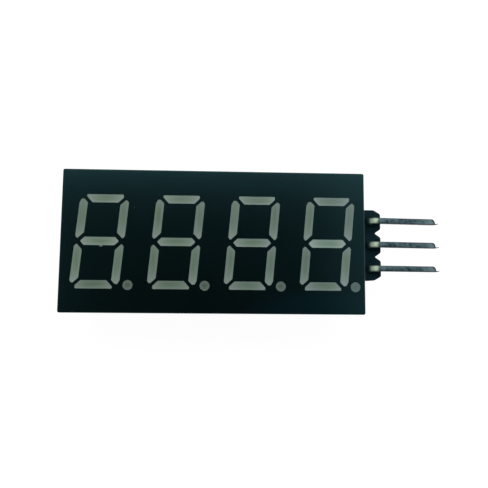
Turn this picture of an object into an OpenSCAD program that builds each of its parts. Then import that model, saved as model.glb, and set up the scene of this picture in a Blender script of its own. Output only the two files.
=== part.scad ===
// Four digit seven segment display module, millimetres.
// The origin is the centre of the display's front face: +X runs to the connector, +Y to the top of
// the digits and +Z out of the face. The driver board lies behind the display and the connector's
// pins stand beside it, bent over to +X.

/* [Display body] */
// Length of the display body
body_l = 30.1; // [29.6:0.1:36]
// Height of the display body, across the digits
body_w = 14.15; // [13.6:0.05:18]
// Depth of the display body, front face to back rim
body_h = 7.2; // [6.4:0.1:9]
// Wall round the pocket at the back
pocket_wall = 0.5; // [0.4:0.05:0.6]
// Radius of the edges round the front face
face_edge_r = 0.12; // [0.1:0.01:0.4]
// Radius of the upright corners
corner_r = 0.25; // [0.1:0.05:0.5]

/* [Digits] */
// Distance from one digit to the next
digit_pitch = 7.5; // [7:0.05:7.6]
// Distance between the middles of the left and right segments
digit_w = 4.02; // [3.8:0.01:4.1]
// Distance between the middles of the top and bottom segments
digit_h = 8.46; // [8:0.01:8.8]
// Width of a segment
segment_w = 0.82; // [0.7:0.005:1.02]
// Lean of the digits from upright, in degrees
lean = 5.06; // [0:0.01:8]
// Middle of the digits right of the middle of the face
digits_dx = 0.03; // [-0.1:0.01:0.1]
// Middle of the digits above the middle of the face
digits_dy = -0.09; // [-0.4:0.01:0.4]
// Gap between two segments at the digit's outer corners, square across the gap
corner_gap = 0.33; // [0.25:0.01:0.4]
// Gap between two segments at the digit's waist, square across the gap
waist_gap = 0.39; // [0.3:0.01:0.5]
// Shift of the gap along the top and bottom segments at the two wide corners
wide_corner_shift = 0.22; // [0:0.01:0.3]
// Share of the waist gap that is taken from the middle segment
waist_share = 0.2; // [0:0.05:0.5]
// Radius of a segment's corners
segment_r = 0.11; // [0.05:0.01:0.15]
// Diameter of the decimal point
dot_d = 0.98; // [0.8:0.01:1.1]
// Decimal point right of the middle of its digit
dot_dx = 2.86; // [2.8:0.01:2.9]
// Decimal point below the middle of its digit
dot_dy = -4.27; // [-4.4:0.01:-4]
// Shift of the last digit's decimal point, in from the display's side
last_dot_in = 0.07; // [0:0.01:0.2]
// Depth of the resin's surface behind the front face
resin_recess = 0.03; // [0:0.01:0.1]

/* [Inside the display] */
// Depth of the light wells, front face to inner board
well_depth = 4.2; // [3.5:0.1:5.1]
// Thickness of the inner board
inner_board_t = 1; // [0.6:0.1:1.2]
// Clearance round the inner board
inner_board_gap = 0.1; // [0.05:0.01:0.15]
// Depth of the back filling below the rim
filling_recess = 0.3; // [0.1:0.1:0.5]
// Width of a light chip
die_w = 0.3; // [0.2:0.02:0.36]
// Height of a light chip
die_h = 0.12; // [0.1:0.01:0.2]

/* [Display pins] */
// Diameter of a display pin
pin_d = 0.5; // [0.4:0.05:0.6]
// Distance between pins in a row
pin_pitch = 2.54; // [2:0.02:2.54]
// Distance between the two rows
pin_row_gap = 10.16; // [9.6:0.02:10.4]
// Pins in a row
pins_in_row = 6; // [4:1:6]
// Length of a pin past the back of the driver board
pin_proud = 1.3; // [1.1:0.1:1.8]
// Depth of a pin's head below the inner board's top
pin_head_depth = 0.1; // [0:0.05:0.3]

/* [Driver board] */
// Thickness of the driver board
board_t = 1.6; // [1:0.1:2]
// Step of the driver board in from the display's sides
board_inset = 0.2; // [0:0.05:0.5]
// Radius of the driver board's corners
board_r = 0.5; // [0.2:0.1:1]
// Tab under the connector, narrower than the strip's length by
tab_trim = 0.56; // [0.4:0.02:0.8]
// Tab past the middle of the connector
tab_past = 1.1; // [0.95:0.05:1.2]
// Hole for a display pin, wider than the pin by
pin_hole_slack = 0.4; // [0.2:0.05:0.5]
// Hole for a connector pin, wider than the pin's diagonal by
post_hole_slack = 0.12; // [0.05:0.01:0.2]
// Width of the copper ring round a hole
ring_w = 0.35; // [0.25:0.05:0.4]
// Height of a solder cone on a pin
cone_h = 0.9; // [0.6:0.1:1]
// Solder left round a pin at the top of its cone
cone_lip = 0.06; // [0.03:0.01:0.1]

/* [Connector] */
// Number of pins
header_ways = 3; // [2:1:4]
// Distance between pins
header_pitch = 2.54; // [2.5:0.01:2.54]
// Width of the plastic strip
strip_w = 2.48; // [2.4:0.02:2.6]
// Height of the plastic strip
strip_h = 2.54; // [2:0.02:3]
// Gap between the display's side and the strip
strip_gap = 0.37; // [0.1:0.01:0.6]
// Middle of the connector above the middle of the face
header_dy = 0.2; // [-1:0.01:1]
// Depth of the V notches between pins
notch_depth = 0.66; // [0.4:0.02:0.8]
// Width of the V notches between pins
notch_w = 0.9; // [0.6:0.02:1.1]
// Strip's end short of half a pitch past the last pin
end_trim = 0.01; // [0:0.01:0.1]
// Corner cut at the strip's ends, across the strip
end_cut_x = 0.74; // [0.4:0.02:0.8]
// Corner cut at the strip's ends, along the strip
end_cut_y = 0.44; // [0.3:0.02:0.7]
// Width of a square connector pin
post_w = 0.6; // [0.5:0.01:0.75]
// Gap between the strip's top and the bent arm
arm_gap = 0.47; // [0.4:0.01:0.8]
// Radius of the bend, at the middle of the pin
bend_r = 0.6; // [0.45:0.05:0.7]
// Level stretch of the arm after the bend
arm_level = 0.28; // [0.1:0.01:0.6]
// Droop of the arm, in degrees
arm_droop = 6; // [0:0.5:10]
// Length of the drooping arm
arm_l = 6.67; // [4:0.01:8]
// Length of a pin past the back of the driver board
tail_proud = 1.2; // [1:0.1:1.8]
// Length of the rounded cut at the arm's tip
snip_l = 0.36; // [0.2:0.02:0.5]
// Length of the burr left by the cut
burr_l = 0.46; // [0.1:0.02:0.5]
// Thickness of the burr
burr_t = 0.1; // [0.06:0.01:0.14]
// Rise of the burr's end above the pin's lower edge
burr_rise = 0.08; // [0:0.01:0.2]

/* [Parts on the back] */
// Thickness of the solder under a part
solder_t = 0.05; // [0.03:0.01:0.1]
// Length of the controller chip's body
chip_l = 6.5; // [6.2:0.1:7]
// Width of the controller chip's body
chip_w = 4.4; // [4:0.1:4.6]
// Height of the controller chip's body
chip_h = 1; // [0.8:0.05:1]
// Leads on each side of the controller chip
chip_leads = 10; // [7:1:10]
// Distance between leads of the controller chip
chip_pitch = 0.65; // [0.5:0.05:0.65]
// Span over the controller chip's leads
chip_span = 6.4; // [6:0.1:6.8]
// Length of a transistor's body
transistor_l = 2.9; // [2.6:0.1:3]
// Width of a transistor's body
transistor_w = 1.3; // [1.2:0.1:1.4]
// Height of a transistor's body
transistor_h = 0.95; // [0.8:0.05:1]
// Span over a transistor's leads
transistor_span = 2.4; // [2.2:0.1:2.6]
// Distance of a transistor's outer leads from its middle
transistor_lead_x = 0.95; // [0.9:0.05:1]
// Length of a resistor or capacitor
block_l = 1.6; // [1.5:0.05:1.7]
// Width of a resistor or capacitor
block_w = 0.8; // [0.7:0.05:0.9]
// Height of a resistor
resistor_h = 0.45; // [0.35:0.05:0.55]
// Height of a capacitor
capacitor_h = 0.8; // [0.6:0.05:0.9]
// Length of the metal end of a resistor or capacitor
block_end = 0.35; // [0.2:0.05:0.4]
// Distance between neighbouring resistors
resistor_pitch = 1.3; // [1.1:0.05:1.4]

/* [Hidden] */
$fn = 48;
cut = 0.1; // how far a cutting tool runs past the face that it opens

segment_letters = ["a", "b", "c", "d", "e", "f", "g"];
digit_count = 4;
function segment_node(digit, letter) = str("digit_", digit, "_segment_", letter);
function dot_node(digit) = str("digit_", digit, "_decimal_point");
function post_node(way) = str("connector_pin_", way);

// Levels behind the front face
inner_board_z = -well_depth;
filling_z = inner_board_z - inner_board_t;
rim_z = -body_h;
board_back_z = rim_z - board_t;

// The driver board and the connector beside the display
board_l = body_l - 2 * board_inset;
board_w = body_w - 2 * board_inset;
header_x = body_l / 2 + strip_gap + strip_w / 2;
strip_l = header_ways * header_pitch - 2 * end_trim;
tab_w = strip_l - tab_trim;
tab_end_x = header_x + tab_past;
tab_corner = 0.6; // corner cut of the tab, under the strip's own corner cut

// Half sizes of the digit's centre lines, and of the window inside its segments
half_w = digit_w / 2;
half_h = digit_h / 2;
window_x = half_w - segment_w / 2;
window_y = half_h - segment_w / 2;
waist_y = segment_w / 2;
outer_x = half_w + segment_w / 2;
outer_y = half_h + segment_w / 2;

// A gap of width g square across a 45 degree mitre takes g * sqrt(2) from the two segments together
corner_share = corner_gap * sqrt(2) / 2;
waist_span = waist_gap * sqrt(2);

// Ends of a segment: how far its tip stops short of the outline, and the cut at its outer corner
bar_end_wide = 0.67; // top segment's left end, from the outline's side
bar_end_tight = 0.57; // top segment's right end, from the outline's side
post_end_wide = 0.46; // upper left segment's top, from the outline's top
post_end_tight = 0.58; // upper right segment's top, from the outline's top
waist_end = 0.11; // a side segment's tip at the waist, short of the middle segment's edge
bevel_x = 0.17; // cut at a side segment's outer corner, across the segment
bevel_wide = 0.4; // the same at the wide corner, along the segment
bevel_tight = 0.22; // the same at the tight corner and the waist, along the segment

// Height of the connector pin's bend above its lower end, and the details of both ends
board_top_z = rim_z;
arm_z = board_top_z + strip_h + arm_gap + post_w / 2;
post_rise = arm_z - bend_r - board_back_z + tail_proud;
tip_taper = 0.12; // cut on each flat of a pin's lower end
tip_taper_l = 0.3;
bend_steps = 12;
droop_steps = 2;
snip_steps = 6;

// Places on the driver board's back
pin_hole_d = pin_d + pin_hole_slack;
post_hole_d = post_w * sqrt(2) + post_hole_slack;
pin_pad_d = pin_hole_d + 2 * ring_w;
post_pad_d = post_hole_d + 2 * ring_w;
resistor_inset = 5.4; // row of resistors, in from the display's side
resistor_x = body_l / 2 - resistor_inset;
resistor_count = 8;
transistor_places = [[-9.3, 3], [-12.6, 3], [-9.3, -3], [-12.6, -3]];
capacitor_x = resistor_x + 2.9;
capacitor_places = [[capacitor_x, 4.6], [capacitor_x, -4.4]];
block_pad_l = 0.7; // solder under and beside a resistor's or capacitor's end
lead_t = 0.15; // thickness of a chip's or transistor's lead
lead_w_chip = 0.22;
lead_w_transistor = 0.4;
lead_foot = 0.45;
body_lift = 0.08; // space between the solder and the underside of a chip or transistor
mould_draft = 0.12; // lean of the moulded sides, from the lead line to each face

// ---- Outlines ----

// A point of the upright digit, leaned over
function leaned(p) = [p.x + p.y * tan(lean), p.y];

// Corner of an outline, replaced by a short arc that touches both of its edges. Where an edge is
// short the arc shrinks, so that it keeps clear of the edge's other corner
arc_steps = 3;
edge_share = 0.45;
function unit(v) = v / norm(v);
function rounded_corner(before, at, after, r) =
    let (
        to_before = unit(before - at),
        to_after = unit(after - at),
        half = acos(to_before * to_after) / 2,
        shorter_edge = min(norm(before - at), norm(after - at)),
        reach = min(r / tan(half), edge_share * shorter_edge),
        middle = at + unit(to_before + to_after) * reach / cos(half),
        start = at + to_before * reach - middle,
        end = at + to_after * reach - middle,
        side = start.x * end.y - start.y * end.x > 0 ? 1 : -1
    )
    [for (i = [0:arc_steps])
        let (turn = side * (180 - 2 * half) * i / arc_steps)
        middle + [start.x * cos(turn) - start.y * sin(turn), start.x * sin(turn) + start.y * cos(turn)]];
function rounded(points, r) =
    let (n = len(points))
    [for (i = [0:n - 1]) each rounded_corner(points[(i + n - 1) % n], points[i], points[(i + 1) % n], r)];

// Turn of half a circle about the middle of the digit
function turned(points) = [for (p = points) -p];

// Top segment: its mitres start at the window's top corners and stop at the cut ends
function bar_outline() =
    let (
        left_in = window_x - corner_share - wide_corner_shift,
        right_in = window_x - corner_share,
        left_end = outer_x - bar_end_wide,
        right_end = outer_x - bar_end_tight
    )
    [
        [-left_end, outer_y],
        [right_end, outer_y],
        [right_end, window_y + right_end - right_in],
        [right_in, window_y],
        [-left_in, window_y],
        [-left_end, window_y + left_end - left_in]
    ];

// Right-hand side segment above the waist. Its upper end is at a tight corner of the leaning digit,
// and a wide one for the left-hand segment, which is drawn by the same outline with its side turned
function side_outline(side, top_in, top_end, top_bevel) =
    let (
        low_in = waist_y + waist_span * (1 - waist_share),
        low_end = waist_y - waist_end
    )
    [
        [side * outer_x, top_end - top_bevel],
        [side * (outer_x - bevel_x), top_end],
        [side * (window_x + top_end - top_in), top_end],
        [side * window_x, top_in],
        [side * window_x, low_in],
        [side * (window_x + low_in - low_end), low_end],
        [side * (outer_x - bevel_x), low_end],
        [side * outer_x, low_end + bevel_tight]
    ];
function right_outline() =
    side_outline(1, window_y - corner_share, outer_y - post_end_tight, bevel_tight);
function left_outline() =
    side_outline(-1, window_y - corner_share + wide_corner_shift, outer_y - post_end_wide, bevel_wide);

// Middle segment: a hexagon with its tips on the digit's waist
function middle_outline() =
    let (
        shoulder = window_x - waist_span * waist_share,
        tip = shoulder + waist_y
    )
    [
        [-shoulder, waist_y],
        [shoulder, waist_y],
        [tip, 0],
        [shoulder, -waist_y],
        [-shoulder, -waist_y],
        [-tip, 0]
    ];

function segment_outline(letter) =
    letter == "a" ? bar_outline()
    : letter == "b" ? right_outline()
    : letter == "c" ? turned(left_outline())
    : letter == "d" ? turned(bar_outline())
    : letter == "e" ? turned(right_outline())
    : letter == "f" ? left_outline()
    : middle_outline();

// Where the light chip sits under a segment, leaned as the segment is
function die_place(letter) =
    leaned(
        letter == "a" ? [0, half_h]
        : letter == "b" ? [half_w, half_h / 2]
        : letter == "c" ? [half_w, -half_h / 2]
        : letter == "d" ? [0, -half_h]
        : letter == "e" ? [-half_w, -half_h / 2]
        : letter == "f" ? [-half_w, half_h / 2]
        : [0, 0]
    );

function digit_place(digit) = [digits_dx + (digit - (digit_count + 1) / 2) * digit_pitch, digits_dy];
function dot_place(digit) = digit_place(digit) + [dot_dx - (digit == digit_count ? last_dot_in : 0), dot_dy];
function post_place(way) = [header_x, header_dy + ((header_ways + 1) / 2 - way) * header_pitch];
function row_xs() = [for (i = [0:pins_in_row - 1]) (i - (pins_in_row - 1) / 2) * pin_pitch];
function resistor_place(i) = [resistor_x, (i - (resistor_count - 1) / 2) * resistor_pitch];

module segment_shape(letter) {
    polygon(rounded([for (p = segment_outline(letter)) leaned(p)], segment_r));
}

module round_rectangle(l, w, r) {
    square([l - 2 * r, w], center = true);
    square([l, w - 2 * r], center = true);
    for (x = [-1, 1], y = [-1, 1])
        translate([x * (l / 2 - r), y * (w / 2 - r)]) circle(r);
}

// Side view of a block whose two upper edges are rounded, its top at zero
module round_topped(l, h, r) {
    translate([-l / 2, -h]) square([l, h - r]);
    translate([-l / 2 + r, -h]) square([l - 2 * r, h]);
    for (x = [-1, 1])
        translate([x * (l / 2 - r), -r]) circle(r);
}

// ---- Display ----

module reflector_housing() {
    color([0.05, 0.09, 0.1])
    difference() {
        intersection() {
            translate([0, 0, -body_h]) linear_extrude(body_h) round_rectangle(body_l, body_w, corner_r);
            rotate([90, 0, 0]) linear_extrude(body_w, center = true)
                round_topped(body_l, body_h, face_edge_r);
            rotate([90, 0, 90]) linear_extrude(body_l, center = true)
                round_topped(body_w, body_h, face_edge_r);
        }
        translate([0, 0, rim_z - cut]) linear_extrude(body_h - well_depth + cut) pocket_shape();
        for (digit = [1:digit_count]) {
            for (letter = segment_letters)
                translate(digit_place(digit)) well() segment_shape(letter);
            translate(dot_place(digit)) well() circle(d = dot_d);
        }
    }
}

module pocket_shape() {
    square([body_l - 2 * pocket_wall, body_w - 2 * pocket_wall], center = true);
}

// Straight well from the pocket's floor out through the front face
module well() {
    translate([0, 0, inner_board_z - cut]) linear_extrude(well_depth + 2 * cut) children();
}

// Resin that fills one well, round the light chip below it
module resin_plug(place, die_at) {
    color([0.6, 0.68, 0.6])
    difference() {
        translate([place.x, place.y, inner_board_z]) linear_extrude(well_depth - resin_recess) children();
        light_chip(place + die_at);
    }
}

module segment(digit, letter) {
    resin_plug(digit_place(digit), die_place(letter)) segment_shape(letter);
}

module decimal_point(digit) {
    resin_plug(dot_place(digit), [0, 0]) circle(d = dot_d);
}

module light_chip(place) {
    translate([place.x, place.y, inner_board_z + die_h / 2]) cube([die_w, die_w, die_h], center = true);
}

module light_chips() {
    color([0.85, 0.75, 0.3])
    for (digit = [1:digit_count]) {
        for (letter = segment_letters)
            light_chip(digit_place(digit) + die_place(letter));
        light_chip(dot_place(digit));
    }
}

module inner_board() {
    color([0.75, 0.72, 0.55])
    translate([0, 0, filling_z]) linear_extrude(inner_board_t)
    difference() {
        inner_board_outline();
        pin_circles(1);
        pin_circles(-1);
    }
}

module inner_board_outline() {
    inset = 2 * (pocket_wall + inner_board_gap);
    square([body_l - inset, body_w - inset], center = true);
}

// Resin poured behind the inner board, round its edge and its pins
module back_filling() {
    color([0.85, 0.83, 0.75])
    difference() {
        translate([0, 0, rim_z + filling_recess])
            linear_extrude(body_h - filling_recess - well_depth) pocket_shape();
        translate([0, 0, filling_z]) linear_extrude(inner_board_t + cut) inner_board_outline();
        display_pins(1);
        display_pins(-1);
    }
}

module pin_circles(row, d = pin_d) {
    for (x = row_xs())
        translate([x, row * pin_row_gap / 2]) circle(d = d);
}

module display_pins(row) {
    low_z = board_back_z - pin_proud;
    color([0.75, 0.76, 0.74])
    translate([0, 0, low_z]) linear_extrude(inner_board_z - pin_head_depth - low_z) pin_circles(row);
}

// ---- Driver board ----

module driver_board() {
    color([0.05, 0.35, 0.2])
    translate([0, 0, board_back_z]) linear_extrude(board_t)
    difference() {
        union() {
            round_rectangle(board_l, board_w, board_r);
            tab_shape();
        }
        pin_circles(1, pin_hole_d);
        pin_circles(-1, pin_hole_d);
        for (way = [1:header_ways])
            translate(post_place(way)) circle(d = post_hole_d);
    }
}

// Tab from the middle of the board out under the connector
module tab_shape() {
    low_y = header_dy - tab_w / 2;
    high_y = header_dy + tab_w / 2;
    polygon([
        [0, low_y],
        [tab_end_x - tab_corner, low_y],
        [tab_end_x, low_y + tab_corner],
        [tab_end_x, high_y - tab_corner],
        [tab_end_x - tab_corner, high_y],
        [0, high_y]
    ]);
}

// Solder in a hole and the cone that it forms on the back. The pin's own shape is cut by the caller
module solder_joint(hole_d, pad_d, tip_r) {
    steps = 5;
    rise = [for (i = [0:steps])
        let (turn = 90 - 90 * i / steps)
        [pad_d / 2 - (pad_d / 2 - tip_r) * cos(turn), -cone_h + cone_h * sin(turn)]];
    plug = [[0, -cone_h], [0, board_t], [hole_d / 2, board_t], [hole_d / 2, 0]];
    translate([0, 0, board_back_z]) rotate_extrude() polygon(concat(plug, rise));
}

module display_solder(row) {
    color([0.7, 0.72, 0.72])
    difference() {
        for (x = row_xs())
            translate([x, row * pin_row_gap / 2]) solder_joint(pin_hole_d, pin_pad_d, pin_d / 2 + cone_lip);
        display_pins(row);
    }
}

module connector_solder() {
    color([0.7, 0.72, 0.72])
    for (way = [1:header_ways])
        translate(post_place(way))
            difference() {
                solder_joint(post_hole_d, post_pad_d, post_w / 2 + 2 * cone_lip);
                translate([0, 0, board_back_z]) cube([post_w, post_w, 2 * (board_t + cone_h)], center = true);
            }
}

// ---- Connector ----

// One long side of the strip, from its lower end to its upper end, for x on the right
function strip_side() = concat(
    [[strip_w / 2 - end_cut_x, -strip_l / 2], [strip_w / 2, -strip_l / 2 + end_cut_y]],
    [for (joint = [1:header_ways - 1])
        let (x = strip_w / 2, y = (joint - header_ways / 2) * header_pitch)
        each [[x, y - notch_w / 2], [x - notch_depth, y], [x, y + notch_w / 2]]],
    [[strip_w / 2, strip_l / 2 - end_cut_y], [strip_w / 2 - end_cut_x, strip_l / 2]]
);

module connector_strip() {
    color([0.08, 0.12, 0.13])
    translate([header_x, header_dy, board_top_z]) linear_extrude(strip_h)
    difference() {
        polygon(concat(strip_side(), turned(strip_side())));
        for (way = [1:header_ways])
            translate([0, ((header_ways + 1) / 2 - way) * header_pitch]) square(post_w, center = true);
    }
}

// Points of an arc in the side view, its angles counted from +X towards +Z
function arc_points(centre, r, from, to, steps) =
    [for (i = [0:steps])
        let (turn = from + (to - from) * i / steps)
        centre + r * [cos(turn), sin(turn)]];

// Side view of a pin: up from its tapered lower end at the origin, over in the bend, along the level
// stretch and down the drooping arm to the thin tip
function post_side() =
    let (
        half = post_w / 2,
        bend_centre = [bend_r, post_rise],
        droop_centre = bend_centre + [arm_level, 0],
        along = [cos(arm_droop), -sin(arm_droop)],
        up = [sin(arm_droop), cos(arm_droop)],
        arm_start = droop_centre + bend_r * up
    )
    concat(
        [[half - tip_taper, 0], [-half + tip_taper, 0], [-half, tip_taper_l]],
        arc_points(bend_centre, bend_r + half, 180, 90, bend_steps),
        arc_points(droop_centre, bend_r + half, 90, 90 - arm_droop, droop_steps),
        [
            arm_start + along * (arm_l - burr_l) + up * half,
            arm_start + along * arm_l + up * burr_t,
            arm_start + along * arm_l,
            arm_start + along * (arm_l - burr_l - snip_l) - up * half
        ],
        arc_points(droop_centre, bend_r - half, 90 - arm_droop, 90, droop_steps),
        arc_points(bend_centre, bend_r - half, 90, 180, bend_steps),
        [[half, tip_taper_l]]
    );

// Plan of a pin, snipped off at an angle: the upper corner of its end is rounded away, and a thin
// burr runs on along its lower edge
function post_plan() =
    let (
        half = post_w / 2,
        reach = bend_r + arm_level + arm_l * cos(arm_droop) + bend_r * sin(arm_droop),
        body_end = reach - burr_l,
        corner = [for (i = [0:snip_steps])
            let (turn = 90 * i / snip_steps)
            [body_end - snip_l * (1 - sin(turn)), -half + burr_t + (post_w - burr_t) * cos(turn)]],
        burr_y = -half + burr_rise
    )
    concat(
        [[-half, -half], [-half, half]],
        corner,
        [[reach + cut, burr_y + burr_t], [reach + cut, burr_y + burr_t / 2], [body_end, -half]]
    );

module connector_pin(way) {
    place = post_place(way);
    color([0.6, 0.65, 0.63])
    translate([place.x, place.y, board_back_z - tail_proud])
        intersection() {
            rotate([90, 0, 0]) linear_extrude(post_w, center = true) polygon(post_side());
            linear_extrude(post_rise + 2 * bend_r) polygon(post_plan());
            rotate([90, 0, 90]) linear_extrude(2 * (bend_r + arm_level + arm_l), center = true) post_front();
        }
}

// Front view of a pin, tapered at its lower end
module post_front() {
    half = post_w / 2;
    top = post_rise + 2 * bend_r;
    polygon([
        [-half + tip_taper, 0],
        [half - tip_taper, 0],
        [half, tip_taper_l],
        [half, top],
        [-half, top],
        [-half, tip_taper_l]
    ]);
}

// ---- Parts on the back of the driver board ----

// A place on the board's back, with +Z away from the board
module on_back(place, turn = 0) {
    translate([place.x, place.y, board_back_z]) rotate([180, 0, turn]) children();
}

// Moulded body that leans in from its middle to its top and bottom, its underside at zero
module moulded_body(l, w, h) {
    intersection() {
        rotate([90, 0, 0]) linear_extrude(w, center = true) mould_side(l, h);
        rotate([90, 0, 90]) linear_extrude(l, center = true) mould_side(w, h);
    }
}

module mould_side(l, h) {
    polygon([
        [-l / 2 + mould_draft, 0],
        [l / 2 - mould_draft, 0],
        [l / 2, h / 2],
        [l / 2 - mould_draft, h],
        [-l / 2 + mould_draft, h],
        [-l / 2, h / 2]
    ]);
}

// Bent lead that leaves a body's side at half its height and stands on its foot, towards +Y
module lead(body_w, span, body_h, w) {
    exit_z = body_lift + body_h / 2;
    knee_y = body_w / 2 + lead_t;
    heel_y = span / 2 - lead_foot;
    rotate([90, 0, 90]) linear_extrude(w, center = true)
        polygon([
            [body_w / 2, exit_z - lead_t / 2],
            [knee_y - lead_t / 2, exit_z - lead_t / 2],
            [heel_y - lead_t / 2, 0],
            [span / 2, 0],
            [span / 2, lead_t],
            [heel_y + lead_t / 2, lead_t],
            [knee_y + lead_t / 2, exit_z + lead_t / 2],
            [body_w / 2, exit_z + lead_t / 2]
        ]);
}

// Runs its children at each lead of the controller chip, turned so that +Y points outwards
module at_chip_leads() {
    for (side = [0, 180], i = [0:chip_leads - 1])
        rotate([0, 0, side]) translate([(i - (chip_leads - 1) / 2) * chip_pitch, 0, 0]) children();
}

module at_transistor_leads() {
    for (x = [-transistor_lead_x, transistor_lead_x])
        translate([x, 0, 0]) children();
    rotate([0, 0, 180]) children();
}

module controller_chip() {
    dimple_d = 0.6;
    dimple_depth = 0.06;
    dimple_inset = 0.75;
    color([0.1, 0.1, 0.1])
    on_back([0, 0]) translate([0, 0, solder_t + body_lift])
        difference() {
            moulded_body(chip_l, chip_w, chip_h);
            translate([-chip_l / 2 + dimple_inset, -chip_w / 2 + dimple_inset, chip_h - dimple_depth])
                cylinder(h = dimple_depth + cut, d = dimple_d);
        }
}

module controller_leads() {
    color([0.75, 0.76, 0.74])
    on_back([0, 0]) translate([0, 0, solder_t])
        at_chip_leads() lead(chip_w, chip_span, chip_h, lead_w_chip);
}

module digit_transistors() {
    color([0.1, 0.1, 0.1])
    for (place = transistor_places)
        on_back(place) translate([0, 0, solder_t + body_lift])
            moulded_body(transistor_l, transistor_w, transistor_h);
}

module transistor_leads() {
    color([0.75, 0.76, 0.74])
    for (place = transistor_places)
        on_back(place) translate([0, 0, solder_t])
            at_transistor_leads() lead(transistor_w, transistor_span, transistor_h, lead_w_transistor);
}

module block(place, h) {
    on_back(place) translate([-block_l / 2, -block_w / 2, solder_t]) cube([block_l, block_w, h]);
}

module segment_resistors() {
    color([0.15, 0.15, 0.16])
    for (i = [0:resistor_count - 1])
        block(resistor_place(i), resistor_h);
}

module capacitors() {
    color([0.72, 0.6, 0.42])
    for (place = capacitor_places)
        block(place, capacitor_h);
}

// Thin solder between the board and every foot and metal end
module chip_solder() {
    margin = 0.1;
    color([0.7, 0.72, 0.72]) {
        on_back([0, 0]) at_chip_leads() foot_solder(chip_span, lead_w_chip, margin);
        for (place = transistor_places)
            on_back(place) at_transistor_leads() foot_solder(transistor_span, lead_w_transistor, margin);
        for (place = concat(capacitor_places, [for (i = [0:resistor_count - 1]) resistor_place(i)]))
            on_back(place)
                for (side = [-1, 1])
                    translate([side * (block_l / 2 - block_end + block_pad_l / 2), 0, solder_t / 2])
                        cube([block_pad_l, block_w, solder_t], center = true);
    }
}

module foot_solder(span, w, margin) {
    translate([0, (span - lead_foot) / 2, solder_t / 2])
        cube([w + 2 * margin, lead_foot + 2 * margin, solder_t], center = true);
}

// ---- Nodes ----

reflector_housing();
for (digit = [1:digit_count]) {
    for (letter = segment_letters)
        segment(digit, letter);
    decimal_point(digit);
}
inner_board();
light_chips();
back_filling();
display_pins(1);  // display_pins_upper
display_pins(-1);  // display_pins_lower
driver_board();
display_solder(1);  // display_solder_upper
display_solder(-1);  // display_solder_lower
connector_strip();
for (way = [1:header_ways])
    connector_pin(way);
connector_solder();
controller_chip();
controller_leads();
digit_transistors();
transistor_leads();
segment_resistors();
capacitors();
chip_solder();
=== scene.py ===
"""Looks of a four digit numeric display module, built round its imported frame, in metres."""

import math
import random

import bmesh
import bpy
from mathutils import Euler, Matrix, Vector


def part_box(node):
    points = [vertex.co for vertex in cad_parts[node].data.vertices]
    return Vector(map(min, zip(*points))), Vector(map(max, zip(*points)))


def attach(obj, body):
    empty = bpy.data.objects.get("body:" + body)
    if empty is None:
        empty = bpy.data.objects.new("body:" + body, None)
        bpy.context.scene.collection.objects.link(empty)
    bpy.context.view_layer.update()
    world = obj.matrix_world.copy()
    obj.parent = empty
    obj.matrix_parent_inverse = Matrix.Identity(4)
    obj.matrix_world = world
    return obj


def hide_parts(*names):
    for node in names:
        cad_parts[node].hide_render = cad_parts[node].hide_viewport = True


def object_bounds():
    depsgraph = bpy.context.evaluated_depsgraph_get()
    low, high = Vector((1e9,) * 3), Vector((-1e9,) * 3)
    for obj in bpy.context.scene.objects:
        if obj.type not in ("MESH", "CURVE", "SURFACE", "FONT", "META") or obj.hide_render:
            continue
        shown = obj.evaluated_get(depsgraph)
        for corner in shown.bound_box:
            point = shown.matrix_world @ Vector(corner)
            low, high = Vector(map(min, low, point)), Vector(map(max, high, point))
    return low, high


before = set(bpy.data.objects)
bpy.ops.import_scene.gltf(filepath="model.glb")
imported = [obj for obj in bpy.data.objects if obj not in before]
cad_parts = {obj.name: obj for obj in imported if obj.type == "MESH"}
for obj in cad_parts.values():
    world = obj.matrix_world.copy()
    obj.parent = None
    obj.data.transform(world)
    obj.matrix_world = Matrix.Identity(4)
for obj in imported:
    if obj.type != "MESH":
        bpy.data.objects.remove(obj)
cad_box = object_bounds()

MM = 0.001
BODY = "root"
DIGITS = (1, 2, 3, 4)
SEGMENTS = "abcdefg"
WAYS = (1, 2, 3)
LEAN = math.tan(math.radians(5.06))  # the digits' lean, across for each unit up
HAIR = 0.0002 * MM  # corners of a CAD mesh that are nearer than this are one
SEAM = 0.0005 * MM  # the same where a turned shape or a strip meets itself
SHARP = math.radians(28)  # an edge that turns by less than this isn't rounded


# ---- Places taken from the frame ----


def middle(node):
    low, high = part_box(node)
    return (low + high) / 2


def spaced(first, last, count):
    """Evenly spaced places from the first to the last."""
    return [first + (last - first) * i / (count - 1) for i in range(count)]


def row_xs(node, radius, count):
    """Middles of the evenly spaced pins or leads of a node."""
    low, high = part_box(node)
    return spaced(low.x + radius, high.x - radius, count)


BOARD_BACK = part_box("driver_board")[0].z
PIN_RADIUS = 0.25 * MM
PIN_XS = row_xs("display_pins_upper", PIN_RADIUS, 6)
PIN_Y = middle("display_pins_upper").y
CONNECTOR = middle("connector_strip")
CONNECTOR_PITCH = 2.54 * MM
CONNECTOR_YS = [CONNECTOR.y + (2 - way) * CONNECTOR_PITCH for way in WAYS]
BURR_L = 0.46  # thin end that the cutter left on a connector pin, in millimetres
SNIP_L = 0.36  # rounded corner before it
SNIP_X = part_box("connector_pin_1")[1].x - (BURR_L + SNIP_L) * MM
LEAD_HALF_W = 0.11 * MM
LEAD_XS = row_xs("controller_leads", LEAD_HALF_W, 10)
FOOT_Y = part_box("controller_leads")[1].y - 0.2 * MM  # middle of the leads' feet
BLOCK_W = 0.8 * MM  # width of a resistor or capacitor
RESISTOR_LOW, RESISTOR_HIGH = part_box("segment_resistors")
RESISTOR_YS = spaced(RESISTOR_LOW.y + BLOCK_W / 2, RESISTOR_HIGH.y - BLOCK_W / 2, 8)
CAPACITOR_LOW, CAPACITOR_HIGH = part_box("capacitors")
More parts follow.
